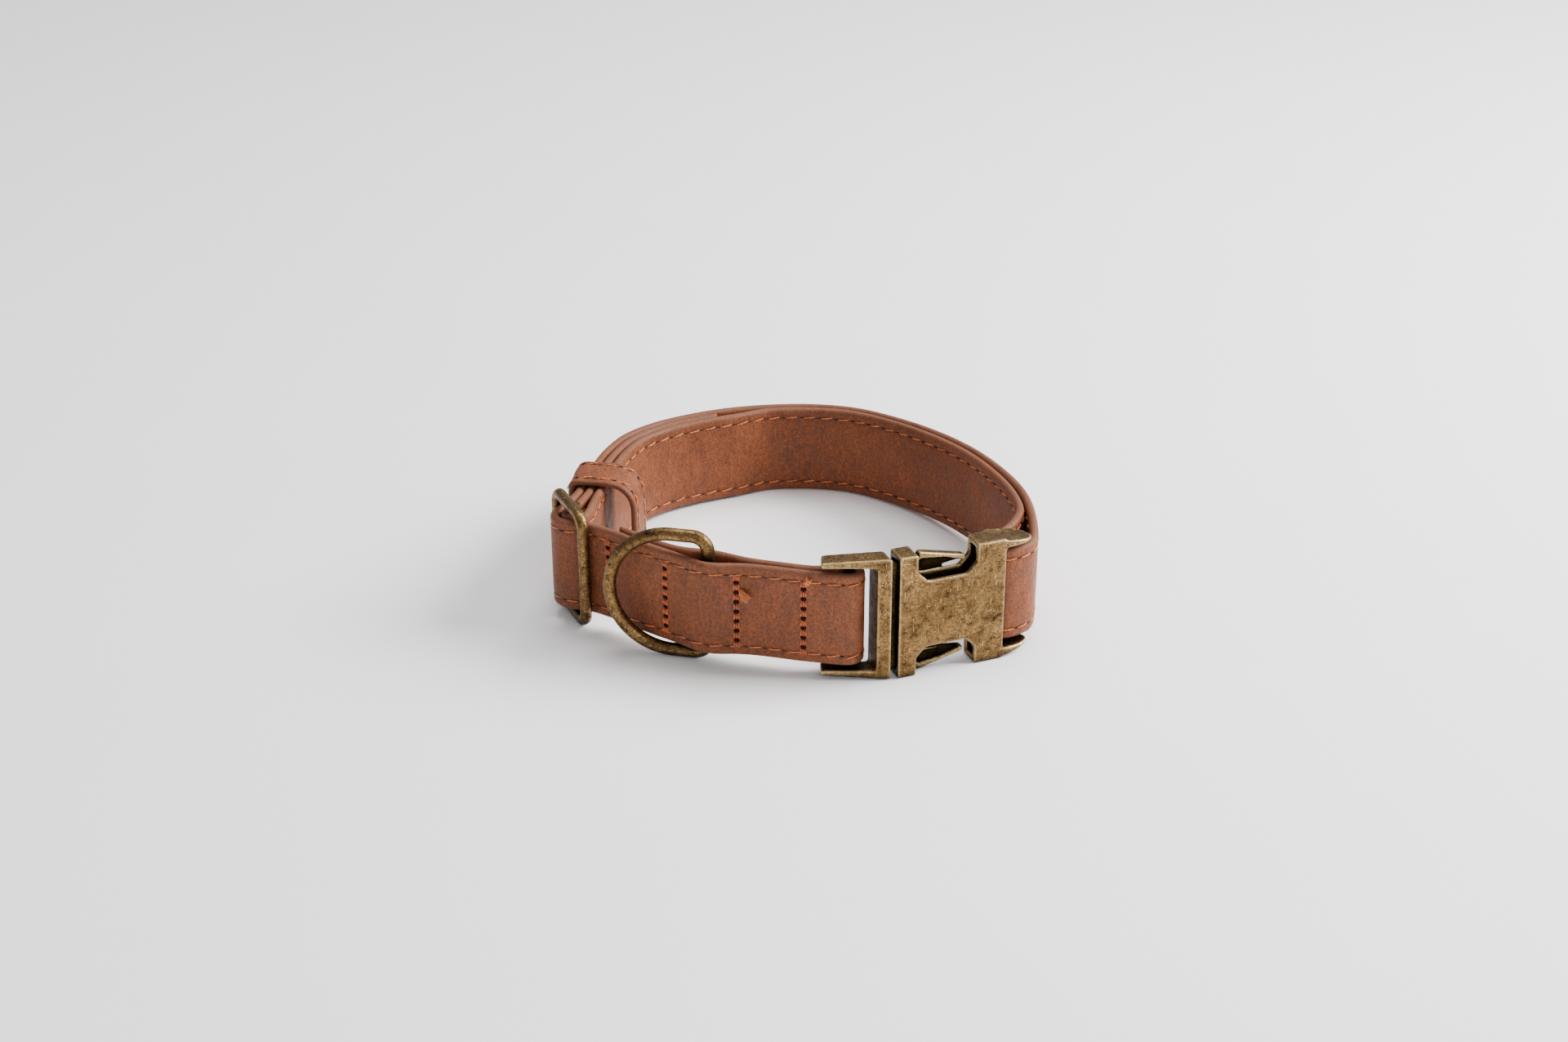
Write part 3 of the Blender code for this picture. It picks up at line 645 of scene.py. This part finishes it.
def row_tree():
    """Geometry Nodes that set one stitch after another along each row, facing the row's out."""
    tree = bpy.data.node_groups.new("stitch_row", "GeometryNodeTree")
    face = tree.interface
    face.new_socket("Rows", in_out="INPUT", socket_type="NodeSocketGeometry")
    for name, kind in (
        ("Pitch", "NodeSocketFloat"),
        ("Slant", "NodeSocketFloat"),
        ("Jitter", "NodeSocketFloat"),
        ("Seed", "NodeSocketInt"),
        ("Stitch", "NodeSocketObject"),
        ("Material", "NodeSocketMaterial"),
    ):
        face.new_socket(name, in_out="INPUT", socket_type=kind)
    face.new_socket("Stitches", in_out="OUTPUT", socket_type="NodeSocketGeometry")
    given = tree.nodes.new("NodeGroupInput").outputs
    curve = add_node(tree, "GeometryNodeMeshToCurve", {"Mesh": given["Rows"]}).outputs["Curve"]
    even = add_node(
        tree, "GeometryNodeResampleCurve", {"Curve": curve, "Length": given["Pitch"]}, mode="LENGTH"
    )
    tangent = tree.nodes.new("GeometryNodeInputTangent").outputs["Tangent"]
    out = add_node(tree, "GeometryNodeInputNamedAttribute", {"Name": "out"}, data_type="FLOAT_VECTOR")
    along = add_node(tree, "FunctionNodeAlignRotationToVector", {"Vector": tangent}, axis="X")
    facing = add_node(
        tree,
        "FunctionNodeAlignRotationToVector",
        {"Rotation": along.outputs[0], "Vector": out.outputs["Attribute"]},
        axis="Z",
        pivot_axis="X",
    )
    shake = add_node(tree, "FunctionNodeRandomValue", {"Seed": given["Seed"]}, data_type="FLOAT")
    low = add_node(tree, "ShaderNodeMath", {0: given["Jitter"], 1: -1.0}, operation="MULTIPLY")
    tree.links.new(low.outputs[0], shake.inputs[2])
    tree.links.new(given["Jitter"], shake.inputs[3])
    angle = add_node(
        tree, "ShaderNodeMath", {0: shake.outputs[1], 1: given["Slant"]}, operation="ADD"
    )
    turn = add_node(tree, "ShaderNodeCombineXYZ", {"Z": angle.outputs[0]})
    spin = add_node(tree, "FunctionNodeEulerToRotation", {"Euler": turn.outputs[0]})
    facing = add_node(
        tree,
        "FunctionNodeRotateRotation",
        {"Rotation": facing.outputs[0], "Rotate By": spin.outputs[0]},
        rotation_space="LOCAL",
    )
    thread = add_node(tree, "GeometryNodeObjectInfo", {"Object": given["Stitch"]})
    placed = add_node(
        tree,
        "GeometryNodeInstanceOnPoints",
        {
            "Points": even.outputs["Curve"],
            "Instance": thread.outputs["Geometry"],
            "Rotation": facing.outputs[0],
        },
    )
    real = add_node(tree, "GeometryNodeRealizeInstances", {"Geometry": placed.outputs["Instances"]})
    named = add_node(
        tree,
        "GeometryNodeSetMaterial",
        {"Geometry": real.outputs[0], "Material": given["Material"]},
    )
    add_node(tree, "NodeGroupOutput", {"Stitches": named.outputs["Geometry"]})
    return tree


def rows_object(name, rows):
    """Mesh lines for the stitches. Each row is its points and the direction that each one faces."""
    mesh = bpy.data.meshes.new(name)
    points, edges, outs = [], [], []
    for row, facing in rows:
        start = len(points)
        points.extend(row.tolist())
        outs.extend(facing.tolist())
        edges.extend((start + k, start + k + 1) for k in range(len(row) - 1))
    mesh.from_pydata(points, edges, [])
    attribute = mesh.attributes.new("out", "FLOAT_VECTOR", "POINT")
    attribute.data.foreach_set("vector", np.array(outs, np.float32).ravel())
    return new_object(name, mesh)


def whole_row(row, facing, start, pitch):
    """The stretch of a row that holds a whole number of stitches from its start."""
    along = lengths(row)
    end = start + int((along[-1] - start) / pitch) * pitch * (1 + 1e-4)
    places = np.concatenate([[start], along[(along > start) & (along < end)], [min(end, along[-1])]])
    cut = [np.stack([np.interp(places, along, part[:, k]) for k in range(3)], 1) for part in (row, facing)]
    return cut


def stitched(name, rows, template, material, pitch, shift=0.0, slant=0.0, jitter=0.0, seed=0):
    """Plain mesh of stitches along rows, made by Geometry Nodes."""
    tree = bpy.data.node_groups.get("stitch_row") or row_tree()
    carrier = rows_object(name, [whole_row(row, facing, shift, pitch) for row, facing in rows])
    stitch = new_object(name + "_stitch", template)
    modifier = carrier.modifiers.new("stitches", "NODES")
    modifier.node_group = tree
    sockets = {item.name: item.identifier for item in tree.interface.items_tree}
    values = {
        "Pitch": pitch,
        "Slant": slant,
        "Jitter": jitter,
        "Seed": seed,
        "Stitch": stitch,
        "Material": material,
    }
    for key, value in values.items():
        modifier[sockets[key]] = value
    made = plain_mesh(carrier)
    bpy.data.objects.remove(stitch)
    return made


def row_beside(line, side, up, offset, height):
    return line + offset * side + height * np.asarray(up)


def seam_rows(line, side, up, offset, height, ends):
    """Both seams on both faces of a band, stopped short of its ends."""
    along = lengths(line)
    kept = (along > ends) & (along < along[-1] - ends)
    rows = []
    for face in (1, -1):
        for edge in (1, -1):
            row = row_beside(line[kept], side[kept], up, face * offset, edge * height)
            rows.append((row, face * side[kept]))
    return rows


class COLLAR_OT_seams(bpy.types.Operator):
    """Sew the long seams of the strap and the keeper"""

    bl_idname = "collar.seams"
    bl_label = "Seams"

    def execute(self, context):
        leather_settings = context.scene.collar_leather
        settings = context.scene.collar_stitch
        line, side = strap_line()
        surface = leather_settings.thickness / 2 - leather_settings.groove
        height = leather_settings.width / 2 - settings.inset
        ring, ring_side, axis = keeper_line()
        keeper_width = np.ptp(np.array([v.co for v in NODES["keeper_loop"].data.vertices]) @ axis)
        ring = np.concatenate([ring, ring[:1]])
        ring_side = np.concatenate([ring_side, ring_side[:1]])
        keeper_height = keeper_width / 2 - leather_settings.keeper_edge
        keeper_surface = 0.8 * MM - 0.15 * MM
        rows = seam_rows(line, side, UP, surface, height, 2 * MM)
        rows += seam_rows(ring, ring_side, axis, keeper_surface, keeper_height, 0.0)[:2]
        thread = capsule_mesh(
            "seam_thread", settings.pitch * 0.80, settings.thread / 2, settings.thread * 0.5
        )
        hole = hole_mesh("seam_hole", settings.pitch * 0.40, settings.thread * 1.3, 0.16 * MM)
        colour = material_named("seam_thread", bonded_thread, "seam_thread", settings.colour)
        turn = {"slant": settings.slant, "jitter": math.radians(4), "seed": settings.seed}
        seams = stitched("seams", rows, thread, colour, settings.pitch, **turn)
        dress(seams, colour)
        # Dark lenses of painted shade in the needle holes
        dark = material_named("needle_hole", needle_hole)
        holes = stitched(
            "seam_holes", rows, hole, dark, settings.pitch, shift=settings.pitch / 2
        )
        dress(holes, dark)
        return {"FINISHED"}


# Places of the stitched rows across the tab, from its slider end to its buckle end, in mm along X
TACK_PLACES = (-46.0, -31.4, -14.4, 2.2)
TACK_STITCHES = 7.1


def tab_places(line, side):
    """Index of each tack row on the strap's line, on the tab's front layer and its back layer."""
    places = []
    tab = lengths(line) < 0.2 * lengths(line)[-1]
    for x in TACK_PLACES:
        near = np.where(tab & (np.abs(line[:, 0] - x * MM) < 1.2 * MM))[0]
        front = near[np.argmin(line[near, 1])]
        back = [k for k in near if line[k, 1] > line[front, 1] + 1 * MM]
        places.append(front)
        if back:
            away = np.linalg.norm(line[back] - line[front], axis=1)
            places.append(back[int(np.argmin(away))])
    return places


# Stray thread ends: place along the tab in mm, height above its middle, heading and reach
TUFTS = (
    (-13.6, 6.2, math.radians(-52), 4.2),
    (2.4, 9.0, math.radians(75), 3.0),
)


def tuft(name, root, right, out, heading, reach, seed):
    """A frayed bundle of thin strands that leaves the leather at a root."""
    random = np.random.default_rng(seed)
    shape = bmesh.new()
    for _ in range(34):
        turn = heading + random.uniform(-0.42, 0.42)
        lift = random.uniform(0.12, 0.55)
        ahead = (math.cos(turn) * right + math.sin(turn) * UP + lift * out).normalized()
        length = reach * random.uniform(0.55, 1.0) * MM
        strand = capsule_mesh("strand", length, 0.13 * MM, 0.16 * length, sides=5, sections=5)
        start = root + random.uniform(-0.35, 0.35) * MM * right + random.uniform(-0.3, 0.3) * MM * UP
        above = (out - out.dot(ahead) * ahead).normalized()
        turned = Matrix((ahead, above.cross(ahead), above)).transposed().to_4x4()
        strand.transform(Matrix.Translation(start + ahead * length / 2) @ turned)
        shape.from_mesh(strand)
        bpy.data.meshes.remove(strand)
    mesh = bpy.data.meshes.new(name)
    shape.to_mesh(mesh)
    shape.free()
    return new_object(name, mesh)


class COLLAR_OT_tufts(bpy.types.Operator):
    """Leave two frayed thread ends beside the rows across the tab"""

    bl_idname = "collar.tufts"
    bl_label = "Stray thread ends"

    def execute(self, context):
        settings = context.scene.collar_stitch
        surface = context.scene.collar_leather.thickness / 2
        line, side = strap_line()
        tab = lengths(line) < 0.2 * lengths(line)[-1]
        bundles = []
        for x, height, heading, reach in TUFTS:
            near = np.where(tab & (np.abs(line[:, 0] - x * MM) < 1.2 * MM))[0]
            place = near[np.argmin(line[near, 1])]
            out = Vector(side[place])
            right = UP.cross(out)
            root = Vector(line[place]) + out * surface + UP * height * MM
            bundles.append(tuft("tuft", root, right, out, heading, reach, settings.seed + len(bundles)))
        tufts = joined("thread_ends", bundles)
        smooth_faces(tufts)
        colour = material_named("seam_thread", bonded_thread, "seam_thread", settings.colour)
        dress(tufts, colour)
        return {"FINISHED"}


class COLLAR_OT_tacks(bpy.types.Operator):
    """Sew the heavy rows across the tab"""

    bl_idname = "collar.tacks"
    bl_label = "Tack rows"

    def execute(self, context):
        leather_settings = context.scene.collar_leather
        settings = context.scene.collar_stitch
        line, side = strap_line()
        reach = settings.tack_pitch * TACK_STITCHES / 2
        heights = np.linspace(-reach, reach, 30)
        rows = []
        for place in tab_places(line, side):
            middle = line[place] + (leather_settings.thickness / 2) * side[place]
            row = middle + heights[:, None] * np.array(UP)
            rows.append((row, np.tile(side[place], (len(heights), 1))))
        thick = settings.tack_thread
        thread = capsule_mesh(
            "tack_thread", settings.tack_pitch * 0.72, thick * 0.38, thick * 0.2,
            strands=3, spread=thick * 0.66,
        )
        hole = hole_mesh("tack_hole", settings.tack_pitch * 0.46, thick * 1.8, 0.24 * MM)
        colour = material_named("tack_thread", bonded_thread, "tack_thread", settings.tack_colour)
        turn = {"jitter": math.radians(6), "seed": settings.seed}
        tacks = stitched("tack_rows", rows, thread, colour, settings.tack_pitch, **turn)
        dress(tacks, colour)
        # Dark lenses of painted shade in the needle holes
        dark = material_named("needle_hole", needle_hole)
        holes = stitched(
            "tack_holes", rows, hole, dark, settings.tack_pitch, shift=settings.tack_pitch / 2
        )
        dress(holes, dark)
        return {"FINISHED"}


# Brass


def wire(name, points, radius, closed=True):
    """Round wire along a line of points."""
    data = bpy.data.curves.new(name, "CURVE")
    data.dimensions = "3D"
    data.bevel_depth = radius
    data.bevel_resolution = 8
    data.use_fill_caps = not closed
    spline = data.splines.new("POLY")
    spline.points.add(len(points) - 1)
    for point, place in zip(spline.points, points):
        point.co = (*place, 1)
    spline.use_cyclic_u = closed
    made = plain_mesh(new_object(name, data))
    shape = bmesh.new()
    shape.from_mesh(made.data)
    bmesh.ops.remove_doubles(shape, verts=shape.verts, dist=1e-6)
    bmesh.ops.recalc_face_normals(shape, faces=shape.faces)
    shape.to_mesh(made.data)
    shape.free()
    smooth_faces(made, 60)
    return made


def rounded_outline(width, height, corner, steps=14):
    """Corner arcs of a rounded rectangle about the origin, as (across, up)."""
    points = []
    for quarter in range(4):
        middle_x = (width / 2 - corner) * (1 if quarter in (0, 3) else -1)
        middle_y = (height / 2 - corner) * (1 if quarter in (0, 1) else -1)
        for k in range(steps + 1):
            angle = math.pi / 2 * (quarter + k / steps)
            points.append((middle_x + corner * math.cos(angle), middle_y + corner * math.sin(angle)))
    return points


def top_rail(node, depth):
    """Middle and direction of the topmost straight stretch of an upright wire frame."""
    points = np.array([v.co for v in NODES[node].data.vertices])
    top = points[points[:, 2] > points[:, 2].max() - depth]
    middle = (top.min(axis=0) + top.max(axis=0)) / 2
    centred = (top - top.mean(axis=0))[:, :2]
    direction = np.linalg.svd(centred, full_matrices=False)[2][0]
    return Vector(middle), Vector((direction[0], direction[1], 0)).normalized()


class COLLAR_OT_slider(bpy.types.Operator):
    """Bend the slider's wire frame and set its middle bar"""

    bl_idname = "collar.slider"
    bl_label = "Slider"

    def execute(self, context):
        settings = context.scene.collar_brass
        low, high = (Vector(corner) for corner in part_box("slider"))
        middle, along = top_rail("slider", 0.1 * MM)
        middle.z = (low.z + high.z) / 2
        wire_radius = settings.slider_wire / 2
        points = np.array([v.co for v in NODES["slider"].data.vertices])
        length = np.ptp(points @ np.array(along)) - settings.slider_wire
        height = high.z - low.z - settings.slider_wire
        outline = rounded_outline(length, height, 3.2 * MM)
        frame_wire = wire("slider_frame", [middle + along * x + UP * z for x, z in outline], wire_radius)
        inward = along.cross(UP)
        if inward.x < 0:
            inward = -inward
        bar_line = [middle + inward * 1.5 * MM + UP * z * height / 2 for z in np.linspace(-1, 1, 9)]
        bar = wire("slider_bar", bar_line, settings.slider_bar / 2, closed=False)
        slider = joined("brass_slider", [frame_wire, bar])
        smooth_faces(slider, 60)
        dress(slider, brass(), replaces=["slider"])
        return {"FINISHED"}


class COLLAR_OT_ring(bpy.types.Operator):
    """Bend the D-ring about its straight bar"""

    bl_idname = "collar.ring"
    bl_label = "D-ring"

    def execute(self, context):
        settings = context.scene.collar_brass
        hinge = next(joint for joint in frame["joints"] if joint["child"] == "d_ring")
        pivot = Vector(hinge["pos_m"])
        low, high = (Vector(corner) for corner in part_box("d_ring"))
        points = np.array([v.co for v in NODES["d_ring"].data.vertices])
        away = (points - np.array(pivot))[:, :2]
        tip = away[np.linalg.norm(away, axis=1) > np.linalg.norm(away, axis=1).max() - 0.3 * MM]
        along = Vector((*tip.mean(axis=0), 0)).normalized()
        half = (high.z - low.z - settings.ring_wire) / 2
        reach = np.linalg.norm(away, axis=1).max() - settings.ring_wire / 2
        corner = 4 * MM
        outline = []
        for k in range(13):
            angle = math.pi + math.pi / 2 * k / 12
            outline.append((corner + corner * math.cos(angle), corner - half + corner * math.sin(angle)))
        for k in range(61):
            angle = -math.pi / 2 + math.pi * k / 60
            outline.append((reach - half + half * math.cos(angle), half * math.sin(angle)))
        for k in range(13):
            angle = math.pi / 2 + math.pi / 2 * k / 12
            outline.append((corner + corner * math.cos(angle), half - corner + corner * math.sin(angle)))
        ring = wire("brass_d_ring", [pivot + along * x + UP * z for x, z in outline], settings.ring_wire / 2)
        dress(ring, brass(), body="d_ring", replaces=["d_ring"])
        return {"FINISHED"}


# Hollow on the face of each prong, in the female half's frame: mm along and above the middle
PRONG_HOLLOW = ((5.8, 11.1), (17.2, 11.1), (17.2, 12.2), (12.5, 13.6), (5.8, 14.4))
PRONG_HOLLOW_DEPTH = (1.0, 3.3)
# Depths between which the hollow's floor and walls lie in shadow
HOLLOW_SHADE = (2.2, 3.8)
PLATE_MOUNT_ALONG = 14.5


def plate_axes():
    """Corner of the face plate at half its height, the way along it and the way into it."""
    mount = next(m for m in RECORD["mounts"] if m["name"] == "plate_front")
    along = Vector((-mount["axis"][1], mount["axis"][0], 0))
    inward = -Vector(mount["axis"])
    return Vector(mount["pos_m"]) - along * PLATE_MOUNT_ALONG * MM, along, inward


def mark_hollows(made):
    """Writes the attribute that paints shade on the floors of the prongs' hollows."""
    origin, along, inward = plate_axes()
    points = (np.array([v.co for v in made.data.vertices]) - np.array(origin)) / MM
    across = np.stack([points @ np.array(along), np.abs(points[:, 2])], axis=1)
    depth = points @ np.array(inward)
    sunk = (depth > HOLLOW_SHADE[0]) & (depth < HOLLOW_SHADE[1])
    for start, end in zip(PRONG_HOLLOW, PRONG_HOLLOW[1:] + PRONG_HOLLOW[:1]):
        edge, away = np.subtract(end, start), across - np.array(start)
        sunk &= edge[0] * away[:, 1] - edge[1] * away[:, 0] > 0
    attribute = made.data.attributes.new("recess", "FLOAT", "POINT")
    attribute.data.foreach_set("value", sunk.astype(np.float32))


def prong_hollow(name, side):
    """Cutter for the hollow of the upper prong (side 1) or the lower one (side -1)."""
    origin, along, inward = plate_axes()
    shape = bmesh.new()
    rings = []
    for depth in PRONG_HOLLOW_DEPTH:
        rings.append(
            [
                shape.verts.new(origin + (along * x + inward * depth + UP * side * z) * MM)
                for x, z in PRONG_HOLLOW
            ]
        )
    count = len(PRONG_HOLLOW)
    for k in range(count):
        after = (k + 1) % count
        shape.faces.new((rings[0][k], rings[0][after], rings[1][after], rings[1][k]))
    shape.faces.new(rings[0])
    shape.faces.new(rings[1][::-1])
    bmesh.ops.recalc_face_normals(shape, faces=shape.faces)
    mesh = bpy.data.meshes.new(name)
    shape.to_mesh(mesh)
    shape.free()
    return new_object(name, mesh)


def cast(made, grain, rounds):
    """Remakes a piece with small even faces and wears its edges round."""
    remesh = made.modifiers.new("remesh", "REMESH")
    remesh.mode = "VOXEL"
    remesh.voxel_size = grain
    wear = made.modifiers.new("wear", "SMOOTH")
    wear.factor = 0.5
    wear.iterations = rounds
    made = plain_mesh(made)
    smooth_faces(made)
    attribute = made.data.attributes.new("cast", "FLOAT", "POINT")
    attribute.data.foreach_set("value", np.ones(len(made.data.vertices), np.float32))
    return made


class COLLAR_OT_buckle(bpy.types.Operator):
    """Hollow the prongs and wear the edges of the two cast halves of the buckle"""

    bl_idname = "collar.buckle"
    bl_label = "Buckle"

    def execute(self, context):
        settings = context.scene.collar_brass
        male = merged_copy("buckle_male", "brass_buckle_male")
        hollows = [prong_hollow("prong_hollow", side) for side in (1, -1)]
        for hollow in hollows:
            cut = male.modifiers.new("hollow", "BOOLEAN")
            cut.operation = "DIFFERENCE"
            cut.solver = "EXACT"
            cut.object = hollow
        male = cast(male, settings.grain, settings.rounding)
        for hollow in hollows:
            bpy.data.objects.remove(hollow)
        mark_hollows(male)
        dress(male, brass(), replaces=["buckle_male"])
        female = cast(merged_copy("buckle_female", "brass_buckle_female"), settings.grain, settings.rounding)
        dress(female, brass(), replaces=["buckle_female"])
        return {"FINISHED"}


# Stage


class COLLAR_OT_stage(bpy.types.Operator):
    """Lay the pale table, set the soft lights and the camera"""

    bl_idname = "collar.stage"
    bl_label = "Stage"

    def execute(self, context):
        settings = context.scene.collar_stage
        mesh = bpy.data.meshes.new("table")
        half = 3.0
        mesh.from_pydata(
            [(-half, -half, 0), (half, -half, 0), (half, half, 0), (-half, half, 0)], [], [(0, 1, 2, 3)]
        )
        table = new_object("table", mesh)
        material, tree, coords = new_material("pale_table")
        tint = ramp(tree, noise(tree, coords, 60 * MM, 2), [(0.3, 0.985), (0.7, 1.0)])
        base = mix(tree, 1.0, tuple(settings.floor), tint, "MULTIPLY")
        finish_material(tree, {"Base Color": base, "Roughness": 0.7, "Specular IOR Level": 0.2})
        mesh.materials.append(material)
        self.add_light("key_softbox", (0.85, 0.12, 0.62), 0.55, 31)
        self.add_light("top_softbox", (0.0, 0.35, 1.2), 0.7, 11)
        self.add_light("front_fill", (0.3, -1.1, 0.6), 0.6, 3.5)
        world = bpy.data.worlds.new("studio")
        world.use_nodes = True
        background = world.node_tree.nodes["Background"]
        background.inputs["Color"].default_value = (0.95, 0.96, 1.0, 1)
        background.inputs["Strength"].default_value = 0.50
        context.scene.world = world
        camera = bpy.data.cameras.new("photo_camera")
        camera.lens = settings.lens
        camera.sensor_width = 36
        camera.clip_start = 0.01
        eye = new_object("photo_camera", camera)
        eye.location = (settings.camera_side, -settings.camera_away, settings.camera_height)
        eye.rotation_euler = (math.pi / 2 - settings.pitch, 0, 0)
        context.scene.camera = eye
        return {"FINISHED"}

    def add_light(self, name, place, size, power):
        data = bpy.data.lights.new(name, "AREA")
        data.shape = "SQUARE"
        data.size = size
        data.energy = power
        lamp = new_object(name, data)
        lamp.location = place
        lamp.rotation_euler = (-Vector(place)).to_track_quat("-Z", "Y").to_euler()


# Panel and registration

OPERATORS = (
    COLLAR_OT_stage,
    COLLAR_OT_strap,
    COLLAR_OT_keeper,
    COLLAR_OT_seams,
    COLLAR_OT_tacks,
    COLLAR_OT_tufts,
    COLLAR_OT_slider,
    COLLAR_OT_ring,
    COLLAR_OT_buckle,
)

SETTINGS = {
    "collar_leather": CollarLeatherSettings,
    "collar_stitch": CollarStitchSettings,
    "collar_brass": CollarBrassSettings,
    "collar_stage": CollarStageSettings,
}


class COLLAR_PT_panel(bpy.types.Panel):
    """Lists the collar's pieces and their sizes and colours"""

    bl_idname = "COLLAR_PT_panel"
    bl_label = "Dog collar"
    bl_space_type = "VIEW_3D"
    bl_region_type = "UI"
    bl_category = "Collar"

    def draw(self, context):
        for operator in OPERATORS:
            self.layout.operator(operator.bl_idname)
        for name, group in SETTINGS.items():
            box = self.layout.box()
            for key in group.__annotations__:
                box.prop(getattr(context.scene, name), key)


def register():
    for group in SETTINGS.values():
        bpy.utils.register_class(group)
    for operator in OPERATORS:
        bpy.utils.register_class(operator)
    bpy.utils.register_class(COLLAR_PT_panel)
    for name, group in SETTINGS.items():
        setattr(bpy.types.Scene, name, PointerProperty(type=group))


def unregister():
    for name in SETTINGS:
        delattr(bpy.types.Scene, name)
    bpy.utils.unregister_class(COLLAR_PT_panel)
    for group in (*OPERATORS, *SETTINGS.values()):
        bpy.utils.unregister_class(group)


def main():
    register()
    for operator in OPERATORS:
        family, name = operator.bl_idname.split(".")
        getattr(getattr(bpy.ops, family), name)()


if __name__ == "__main__":
    main()
